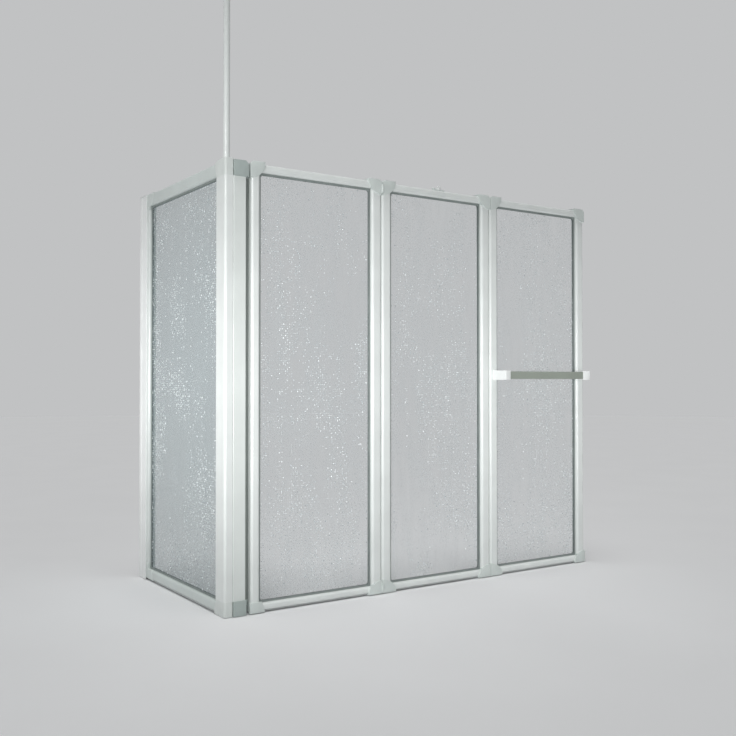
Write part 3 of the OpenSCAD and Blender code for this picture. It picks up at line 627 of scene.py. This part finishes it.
# Dark rubber, painted darker still: painted shade for the shaded dip along the seams between the stiles.
SEAM_RUBBER_AND_SHADE = Elastomer("seam_rubber", as_seen(70, 76, 75), 0.66)
SEAL = Elastomer("seal_rubber", as_seen(150, 156, 155), 0.62)
STEEL = BareMetal("plated_steel", as_seen(196, 198, 199), 0.31)
ALUMINIUM = BareMetal("mill_aluminium", as_seen(205, 207, 208), 0.39)
SHEET = ClearSheet("pebbled_sheet", as_seen(150, 170, 176), 0.10)
SIDE_SHEET = ClearSheet("pebbled_side_sheet", as_seen(142, 162, 166), 0.12, haze=0.24)
DROP = ClearDrop("raised_drops", as_seen(204, 216, 219), 0.05)
FLOOR = FloorPaint("floor_paint", as_seen(232, 233, 234), 0.8)


class Workbench:
    """The place where the pieces of one body are dressed and made."""

    def __init__(self, frame: Frame, body: str) -> None:
        """Keeps the frame's nodes and the name of the body that the pieces ride on."""
        self.nodes = frame["nodes"]
        self.body = body

    def dress(self, node: str, finish: Finish) -> None:
        """Gives a CAD node its finish.

        Args:
            node: The node's name.
            finish: The finish that it takes.
        """
        mesh = self.nodes[node].data
        mesh.materials.clear()
        mesh.materials.append(finish.material())
        log.info("%s: dressed with %s", node, finish.name)

    def place(self, name: str, mesh: bpy.types.Mesh, finish: Finish, slot: str) -> bpy.types.Object:
        """Adds a new piece to the scene.

        Args:
            name: The piece's name.
            mesh: Its mesh, in the frame's coordinates.
            finish: Its finish.
            slot: The material slot that it belongs to. Not used.

        Returns:
            The new piece.
        """
        mesh.materials.clear()
        mesh.materials.append(finish.material())
        piece = bpy.data.objects.new(name, mesh)
        bpy.context.scene.collection.objects.link(piece)
        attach(piece, self.body)
        log.info("%s: %d faces, rides on %s", name, len(mesh.polygons), self.body)
        return piece

    def soften(self, node: str, finish: Finish, slot: str, width: float) -> bpy.types.Object:
        """Replaces a moulded CAD node with one whose sharp edges are rounded.

        Args:
            node: The node's name.
            finish: The finish that the new piece takes.
            slot: Passed on to place, which does not use it.
            width: Width of the rounded edges, in metres.

        Returns:
            The new piece.
        """
        shape = bmesh.new()
        shape.from_mesh(self.nodes[node].data)
        bmesh.ops.remove_doubles(shape, verts=shape.verts, dist=WELD)
        bmesh.ops.dissolve_limit(shape, angle_limit=FLAT, verts=shape.verts, edges=shape.edges)
        sharp = [edge for edge in shape.edges if edge.calc_face_angle(0.0) > SHARP]
        bmesh.ops.bevel(shape, geom=sharp, offset=width, segments=ROUND_STEPS, profile=ROUND_FORM, affect="EDGES",
                        clamp_overlap=True)
        bmesh.ops.triangulate(shape, faces=[face for face in shape.faces if len(face.verts) > 4])
        mesh = bpy.data.meshes.new(f"{node}_moulding")
        shape.to_mesh(mesh)
        shape.free()
        mesh.polygons.foreach_set("use_smooth", [True] * len(mesh.polygons))
        mesh.set_sharp_from_angle(angle=CREASE)
        piece = self.place(f"{node}_moulding", mesh, finish, slot)
        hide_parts(node)
        return piece


class SheetFace(Enum):
    """A sheet's outer face: the axis that runs across it, and the directions along that axis and out of the face."""

    FRONT = (0, (1.0, 0.0, 0.0), (0.0, -1.0, 0.0))
    SIDE = (1, (0.0, 1.0, 0.0), (-1.0, 0.0, 0.0))


@dataclass
class DropField:
    """Raised drops scattered over one face of a sheet.

    Attributes:
        sheet: The sheet's node.
        face: The face that they stand on.
        seed: Start of the random draws.
        stretch: How much taller than wide a drop may be.
        inset: How far the drops stay from the sheet's edge, which the frame holds.
        pitch: Distance between the places where a drop may stand.
        jitter: Where in its place a drop may stand, as shares of the pitch.
        smallest: Radius of the smallest drop.
        largest: Radius of the largest drop.
        rarity: How rare large drops are. At 1, every size is as common.
        segments: Sides of a drop.
        rings: Radius and height of a drop's rings, as shares of its own radius.
        crown: Height of its crown, as such a share.
        cover: How densely the drops stand between the patches and trails, from 0 to 1.
        patches: Patches in a metre, across and up, and the step from one seed's to the next.
        patch_share: How much more densely the drops stand in a patch.
        layers: How much weaker each finer layer of the patches is, how much finer it is, and the number of layers.
        trails: Upright trails in a metre, across and up, and the step between seeds.
        trail_share: How much more densely the drops stand in a trail.
    """

    sheet: str
    face: SheetFace
    seed: int
    stretch: float = 1.15
    inset: float = 0.0155
    pitch: float = 0.0062
    jitter: Tuple[float, float] = (0.3, 0.7)
    smallest: float = 0.0008
    largest: float = 0.0025
    rarity: float = 2.2
    segments: int = 8
    rings: Tuple[Tuple[float, float], ...] = ((1.0, -0.1), (0.72, 0.38))
    crown: float = 0.55
    cover: float = 0.34
    patches: Point = (8.0, 4.5, 3.7)
    patch_share: float = 0.95
    layers: Tuple[float, float, int] = (1.0, 2.0, 3)
    trails: Point = (42.0, 6.0, 5.1)
    trail_share: float = 0.55

    def wetness(self, u: float, v: float) -> float:
        """Gives how densely the drops stand at a point.

        Args:
            u: Distance across the face.
            v: Distance up it.

        Returns:
            The density, from 0 to 1.
        """
        patch, trail = (Vector((u * across, v * up, self.seed * step))
                        for across, up, step in (self.patches, self.trails))
        wet = noise.fractal(patch, *self.layers) * self.patch_share + noise.noise(trail) * self.trail_share
        return min(1.0, max(0.0, self.cover + wet))

    def dome(self, centre: Vector, size: float, lean: float) -> List[Vector]:
        """Gives a drop's points.

        Args:
            centre: Where it stands on the face.
            size: Its radius.
            lean: How much taller than wide it is.

        Returns:
            Its rings, from the face outwards, and its crown.
        """
        across, out = (Vector(direction) for direction in self.face.value[1:])
        points = []
        for radius, rise in self.rings:
            for side in range(self.segments):
                turn = 2 * math.pi * side / self.segments
                points.append(centre + across * (size * radius * math.cos(turn))
                              + UP * (size * lean * radius * math.sin(turn)) + out * (size * rise))
        return points + [centre + out * (size * self.crown)]

    def skin(self, first: int) -> List[Ring]:
        """Gives a drop's faces.

        Args:
            first: The number of its first point.

        Returns:
            Its foot, then its sides and crown in turn, as the numbers of their points, seen from outside.
        """
        count = self.segments
        faces: List[Ring] = [tuple(first + side for side in reversed(range(count)))]
        for side in range(count):
            after = (side + 1) % count
            faces.append((first + side, first + after, first + count + after, first + count + side))
            faces.append((first + count + side, first + count + after, first + 2 * count))
        return [face[::-1] for face in faces] if self.face is SheetFace.SIDE else faces

    def mesh(self, name: str) -> bpy.types.Mesh:
        """Builds the mesh.

        Args:
            name: The mesh's name.

        Returns:
            One mesh with a closed dome for each drop.
        """
        draw = random.Random(self.seed)
        axis = self.face.value[0]
        low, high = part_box(self.sheet)
        columns, rows = (int((high[side] - low[side] - 2 * self.inset) / self.pitch) for side in (axis, 2))
        points: List[Vector] = []
        faces: List[Ring] = []
        for column in range(columns):
            for row in range(rows):
                u, v = ((place + draw.uniform(*self.jitter)) * self.pitch for place in (column, row))
                size = self.smallest + (self.largest - self.smallest) * draw.random() ** self.rarity
                lean = draw.uniform(1.0, self.stretch)
                if draw.random() > self.wetness(u, v):
                    continue
                faces += self.skin(len(points))
                centre = Vector(low)
                centre[axis] += self.inset + u
                centre.z += self.inset + v
                points += self.dome(centre, size, lean)
        mesh = bpy.data.meshes.new(name)
        mesh.from_pydata(points, [], faces)
        mesh.polygons.foreach_set("use_smooth", [True] * len(mesh.polygons))
        return mesh


@dataclass
class FoldingPanel:
    """One folding panel: stiles, rails, pebbled sheet with its gasket, and corner brackets.

    Attributes:
        number: The panel's place, counted from the corner.
        edge: Width of the brackets' rounded edges.
    """

    number: int
    edge: float = 0.0020

    def build(self, frame: Frame) -> None:
        """Dresses the panel's nodes and adds its own pieces.

        Args:
            frame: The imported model's frame.
        """
        panel = f"panel_{self.number}"
        work = Workbench(frame, panel)
        for side in ("left_stile", "right_stile"):
            work.dress(f"{panel}_{side}", STILE_COAT)
        for side in ("top_rail", "bottom_rail"):
            work.dress(f"{panel}_{side}", RAIL_COAT)
        work.dress(f"{panel}_glazing", SHEET)
        work.dress(f"{panel}_gasket", GASKET)
        work.dress(f"{panel}_seal", SEAL)
        work.dress(f"{panel}_screws", STEEL)
        for side in ("top_brackets", "bottom_brackets"):
            work.soften(f"{panel}_{side}", BRACKET, "bracket_grey", self.edge)
        drops = DropField(f"{panel}_glazing", SheetFace.FRONT, self.number)
        work.place(f"{panel}_drops", drops.mesh(f"{panel}_drops"), DROP, "textured_sheet")


@dataclass
class SidePanel:
    """The fixed side panel between the corner and the wall, and its wall profile.

    Attributes:
        edge: Width of the mouldings' rounded edges.
        seed: Start of the drops' random draws.
        stretch: How much taller than wide a drop may be.
    """

    edge: float = 0.0020
    seed: int = 11
    stretch: float = 1.7

    def build(self, frame: Frame) -> None:
        """Dresses the panel's nodes and adds its own pieces.

        Args:
            frame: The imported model's frame.
        """
        work = Workbench(frame, "root")
        work.dress("wall_profile", WALL_LIT_COAT)
        work.dress("side_rear_stile", REAR_STILE_SHADED_COAT)
        for node in ("side_top_rail", "side_bottom_rail"):
            work.dress(node, SIDE_RAIL_SHADED_COAT)
        work.dress("side_glazing", SIDE_SHEET)
        work.dress("side_gasket", GASKET)
        work.dress("side_seal", SEAL)
        work.soften("side_rear_brackets", BRACKET, "bracket_grey", self.edge)
        work.soften("wall_profile_cap", COVER, "white_plastic", self.edge)
        drops = DropField("side_glazing", SheetFace.SIDE, self.seed, self.stretch)
        work.place("side_drops", drops.mesh("side_drops"), DROP, "textured_sheet")


@dataclass
class CornerPost:
    """The corner post with its cap, foot and screws.

    Attributes:
        edge: Width of the cap's and the foot's rounded edges.
    """

    edge: float = 0.0020

    def build(self, frame: Frame) -> None:
        """Dresses the post's nodes and rounds its mouldings.

        Args:
            frame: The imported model's frame.
        """
        work = Workbench(frame, "root")
        work.dress("corner_post", STILE_COAT)
        work.dress("corner_screws", STEEL)
        for node in ("corner_cap", "corner_foot"):
            work.soften(node, POST_CAP, "white_plastic", self.edge)


@dataclass
class CornerHinge:
    """The fixed profile beside the post, whose caps hold a rod, and the knuckle that swings on it with panel 1.

    Attributes:
        edge: Width of the caps' rounded edges.
    """

    edge: float = 0.0020

    def build(self, frame: Frame) -> None:
        """Dresses the hinge's nodes and rounds its caps.

        Args:
            frame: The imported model's frame.
        """
        work = Workbench(frame, "root")
        work.dress("hinge_profile", HINGE_SHADED_COAT)
        work.dress("hinge_rod", STEEL)
        work.soften("hinge_caps", CAP, "cap_grey", self.edge)
        Workbench(frame, "panel_1").dress("hinge_knuckle", KNUCKLE_SHADE)


@dataclass
class CeilingPole:
    """The pole in two lengths, its inner joint, and its fixing at the ceiling.

    Attributes:
        edge: Width of the fixing's rounded edges.
    """

    edge: float = 0.0006

    def build(self, frame: Frame) -> None:
        """Dresses the pole's nodes and rounds its mouldings.

        Args:
            frame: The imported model's frame.
        """
        work = Workbench(frame, "root")
        for node in ("pole_lower", "pole_upper"):
            work.dress(node, STILE_COAT)
        work.dress("pole_spigot", ALUMINIUM)
        for node in ("ceiling_flange", "ceiling_cover"):
            work.soften(node, COVER, "white_plastic", self.edge)


@dataclass
class SeamHinge:
    """The pins between two folding panels, and the strip that closes the seam.

    Attributes:
        number: The seam's place, counted from the corner. Its pieces ride on the panel before it.
    """

    number: int

    def build(self, frame: Frame) -> None:
        """Dresses the seam's nodes.

        Args:
            frame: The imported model's frame.
        """
        work = Workbench(frame, f"panel_{self.number}")
        work.dress(f"seam_strip_{self.number}", SEAM_RUBBER_AND_SHADE)
        work.dress(f"hinge_pins_{self.number}", STEEL)


@dataclass
class TowelBar:
    """The bar across the last panel and its two brackets.

    Attributes:
        edge: Width of the brackets' rounded edges.
    """

    edge: float = 0.0010

    def build(self, frame: Frame) -> None:
        """Dresses the bar and rounds its brackets.

        Args:
            frame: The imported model's frame.
        """
        work = Workbench(frame, "panel_3")
        work.dress("towel_bar", BAR_COAT)
        work.soften("towel_bar_brackets", BAR_END, "bracket_grey", self.edge)


@dataclass
class TurnCatch:
    """The catch on the middle panel: a base and a lever that turns on it.

    Attributes:
        edge: Width of the rounded edges.
    """

    edge: float = 0.0005

    def build(self, frame: Frame) -> None:
        """Rounds both pieces."""
        Workbench(frame, "panel_2").soften("catch_base", BRACKET, "bracket_grey", self.edge)
        Workbench(frame, "catch").soften("catch_lever", BAR_END, "bracket_grey", self.edge)


@dataclass(frozen=True)
class Softbox:
    """A soft lamp with a grid, which lights one part of the screen.

    Attributes:
        name: Its name.
        place: Where it stands.
        aim: The point that it faces.
        size: Its width and height.
        power: Its power, in watts.
        spread: How widely its light fans out, in degrees.
    """

    name: str
    place: Point
    aim: Point
    size: Tuple[float, float]
    power: float
    spread: float

    def build(self) -> None:
        """Stands the lamp in the scene."""
        light = bpy.data.lights.new(self.name, "AREA")
        light.shape = "RECTANGLE"
        light.size, light.size_y = self.size
        light.energy = self.power
        light.spread = math.radians(self.spread)
        lamp = bpy.data.objects.new(self.name, light)
        lamp.location = self.place
        lamp.rotation_euler = (Vector(self.place) - Vector(self.aim)).to_track_quat("Z", "Y").to_euler()
        bpy.context.scene.collection.objects.link(lamp)


@dataclass(frozen=True)
class Studio:
    """Camera, lamps, world and floor.

    Attributes:
        eye: Where the camera stands.
        heading: The way it looks, in degrees round Z from +Y.
        tilt: How far it looks up, in degrees.
        lens: Its lens, in millimetres.
        sensor: Its sensor's width, in millimetres.
        sight: How far it sees.
        boxes: The softboxes.
        sky: Direction towards the lamp overhead.
        sky_strength: That lamp's strength.
        sky_size: How large it looks, in degrees.
        fill: Strength of the world's light.
        glow: Colour of that light.
        horizon: Colour that the world shows behind the floor.
        middle: Where the floor's middle is.
        reach: The floor's radius.
        sides: The number of its sides.
        drop: How far the floor lies under the foot.
    """

    eye: Point = (-1.04096, -2.21932, 0.62467)
    heading: float = -33.97
    tilt: float = 0.77
    lens: float = 44.64
    sensor: float = 36.0
    sight: float = 100.0
    boxes: Tuple[Softbox, ...] = (
        Softbox("left_softbox", place=(-0.80, -1.42, 0.64), aim=(0.42, 0.0, 0.62), size=(0.9, 0.6),
                power=2.85, spread=54.0),
        Softbox("side_softbox", place=(-1.75, -0.30, 0.66), aim=(0.1, 0.38, 0.64), size=(0.6, 0.5),
                power=1.6, spread=42.0),
        Softbox("pole_softbox", place=(-1.25, -1.00, 1.55), aim=(0.0, 0.0, 1.42), size=(0.3, 0.3),
                power=0.36, spread=34.0),
        Softbox("right_softbox", place=(0.62, -1.30, 0.56), aim=(1.22, -0.03, 0.56), size=(0.3, 0.8),
                power=0.70, spread=52.0),
    )
    sky: Point = (-0.12, -0.14, 0.98)
    sky_strength: float = 1.75
    sky_size: float = 30.0
    fill: float = 0.12
    glow: Colour = (1.0, 1.0, 1.0, 1.0)
    horizon: Colour = as_seen(193, 194, 195)
    middle: Tuple[float, float] = (0.6, 0.3)
    reach: float = 14.0
    sides: int = 96
    drop: float = 0.0012

    def camera(self) -> None:
        """Puts the camera at the photograph's viewing angle."""
        lens = bpy.data.cameras.new("camera")
        lens.lens = self.lens
        lens.sensor_width = self.sensor
        lens.clip_end = self.sight
        camera = bpy.data.objects.new("camera", lens)
        camera.location = self.eye
        camera.rotation_euler = (math.radians(90.0 + self.tilt), 0.0, math.radians(self.heading))
        bpy.context.scene.collection.objects.link(camera)
        bpy.context.scene.camera = camera

    def lamps(self) -> None:
        """Stands the softboxes and hangs the broad lamp overhead."""
        for box in self.boxes:
            box.build()
        light = bpy.data.lights.new("overhead", "SUN")
        light.energy = self.sky_strength
        light.angle = math.radians(self.sky_size)
        lamp = bpy.data.objects.new("overhead", light)
        lamp.rotation_euler = Vector(self.sky).to_track_quat("Z", "Y").to_euler()
        bpy.context.scene.collection.objects.link(lamp)

    def world(self) -> None:
        """Lights the room evenly, behind a pale backdrop that the camera, gloss and glass see."""
        world = bpy.data.worlds.new("room")
        bpy.context.scene.world = world
        tree = ShaderTree(world)
        light = tree.add("ShaderNodeBackground", {}, {"Color": self.glow, "Strength": self.fill})
        backdrop = tree.add("ShaderNodeBackground", {}, {"Color": self.horizon, "Strength": 1.0})
        camera, glossy, through = (tree.add("ShaderNodeLightPath", {}, {}, f"Is {kind} Ray")
                                   for kind in ("Camera", "Glossy", "Transmission"))
        seen = tree.steps(camera + glossy + through, 0.0, 1.0)
        mixed = tree.add("ShaderNodeMixShader", {}, {0: seen, 1: light, 2: backdrop})
        tree.add("ShaderNodeOutputWorld", {}, {"Surface": mixed})

    def floor(self) -> None:
        """Lays the floor just under the screen's foot."""
        shape = bmesh.new()
        bmesh.ops.create_circle(shape, cap_ends=True, segments=self.sides, radius=self.reach,
                                matrix=Matrix.Translation((*self.middle, -self.drop)))
        mesh = bpy.data.meshes.new("floor")
        shape.to_mesh(mesh)
        shape.free()
        mesh.materials.append(FLOOR.material())
        floor = bpy.data.objects.new("floor", mesh)
        bpy.context.scene.collection.objects.link(floor)

    def build(self) -> None:
        """Sets up the whole studio."""
        self.camera()
        self.lamps()
        self.world()
        self.floor()
        bpy.context.scene.view_settings.view_transform = "Standard"
        log.info("studio: camera at %s, lens %.2f mm", self.eye, self.lens)


def main() -> None:
    """Sets up the studio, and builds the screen's sub-assemblies in order."""
    logging.basicConfig(level=logging.INFO, format="%(message)s")
    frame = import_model()
    Studio().build()
    SidePanel().build(frame)
    CornerPost().build(frame)
    CornerHinge().build(frame)
    CeilingPole().build(frame)
    for number in (1, 2, 3):
        FoldingPanel(number).build(frame)
    for number in (1, 2):
        SeamHinge(number).build(frame)
    TowelBar().build(frame)
    TurnCatch().build(frame)


if __name__ == "__main__":
    main()
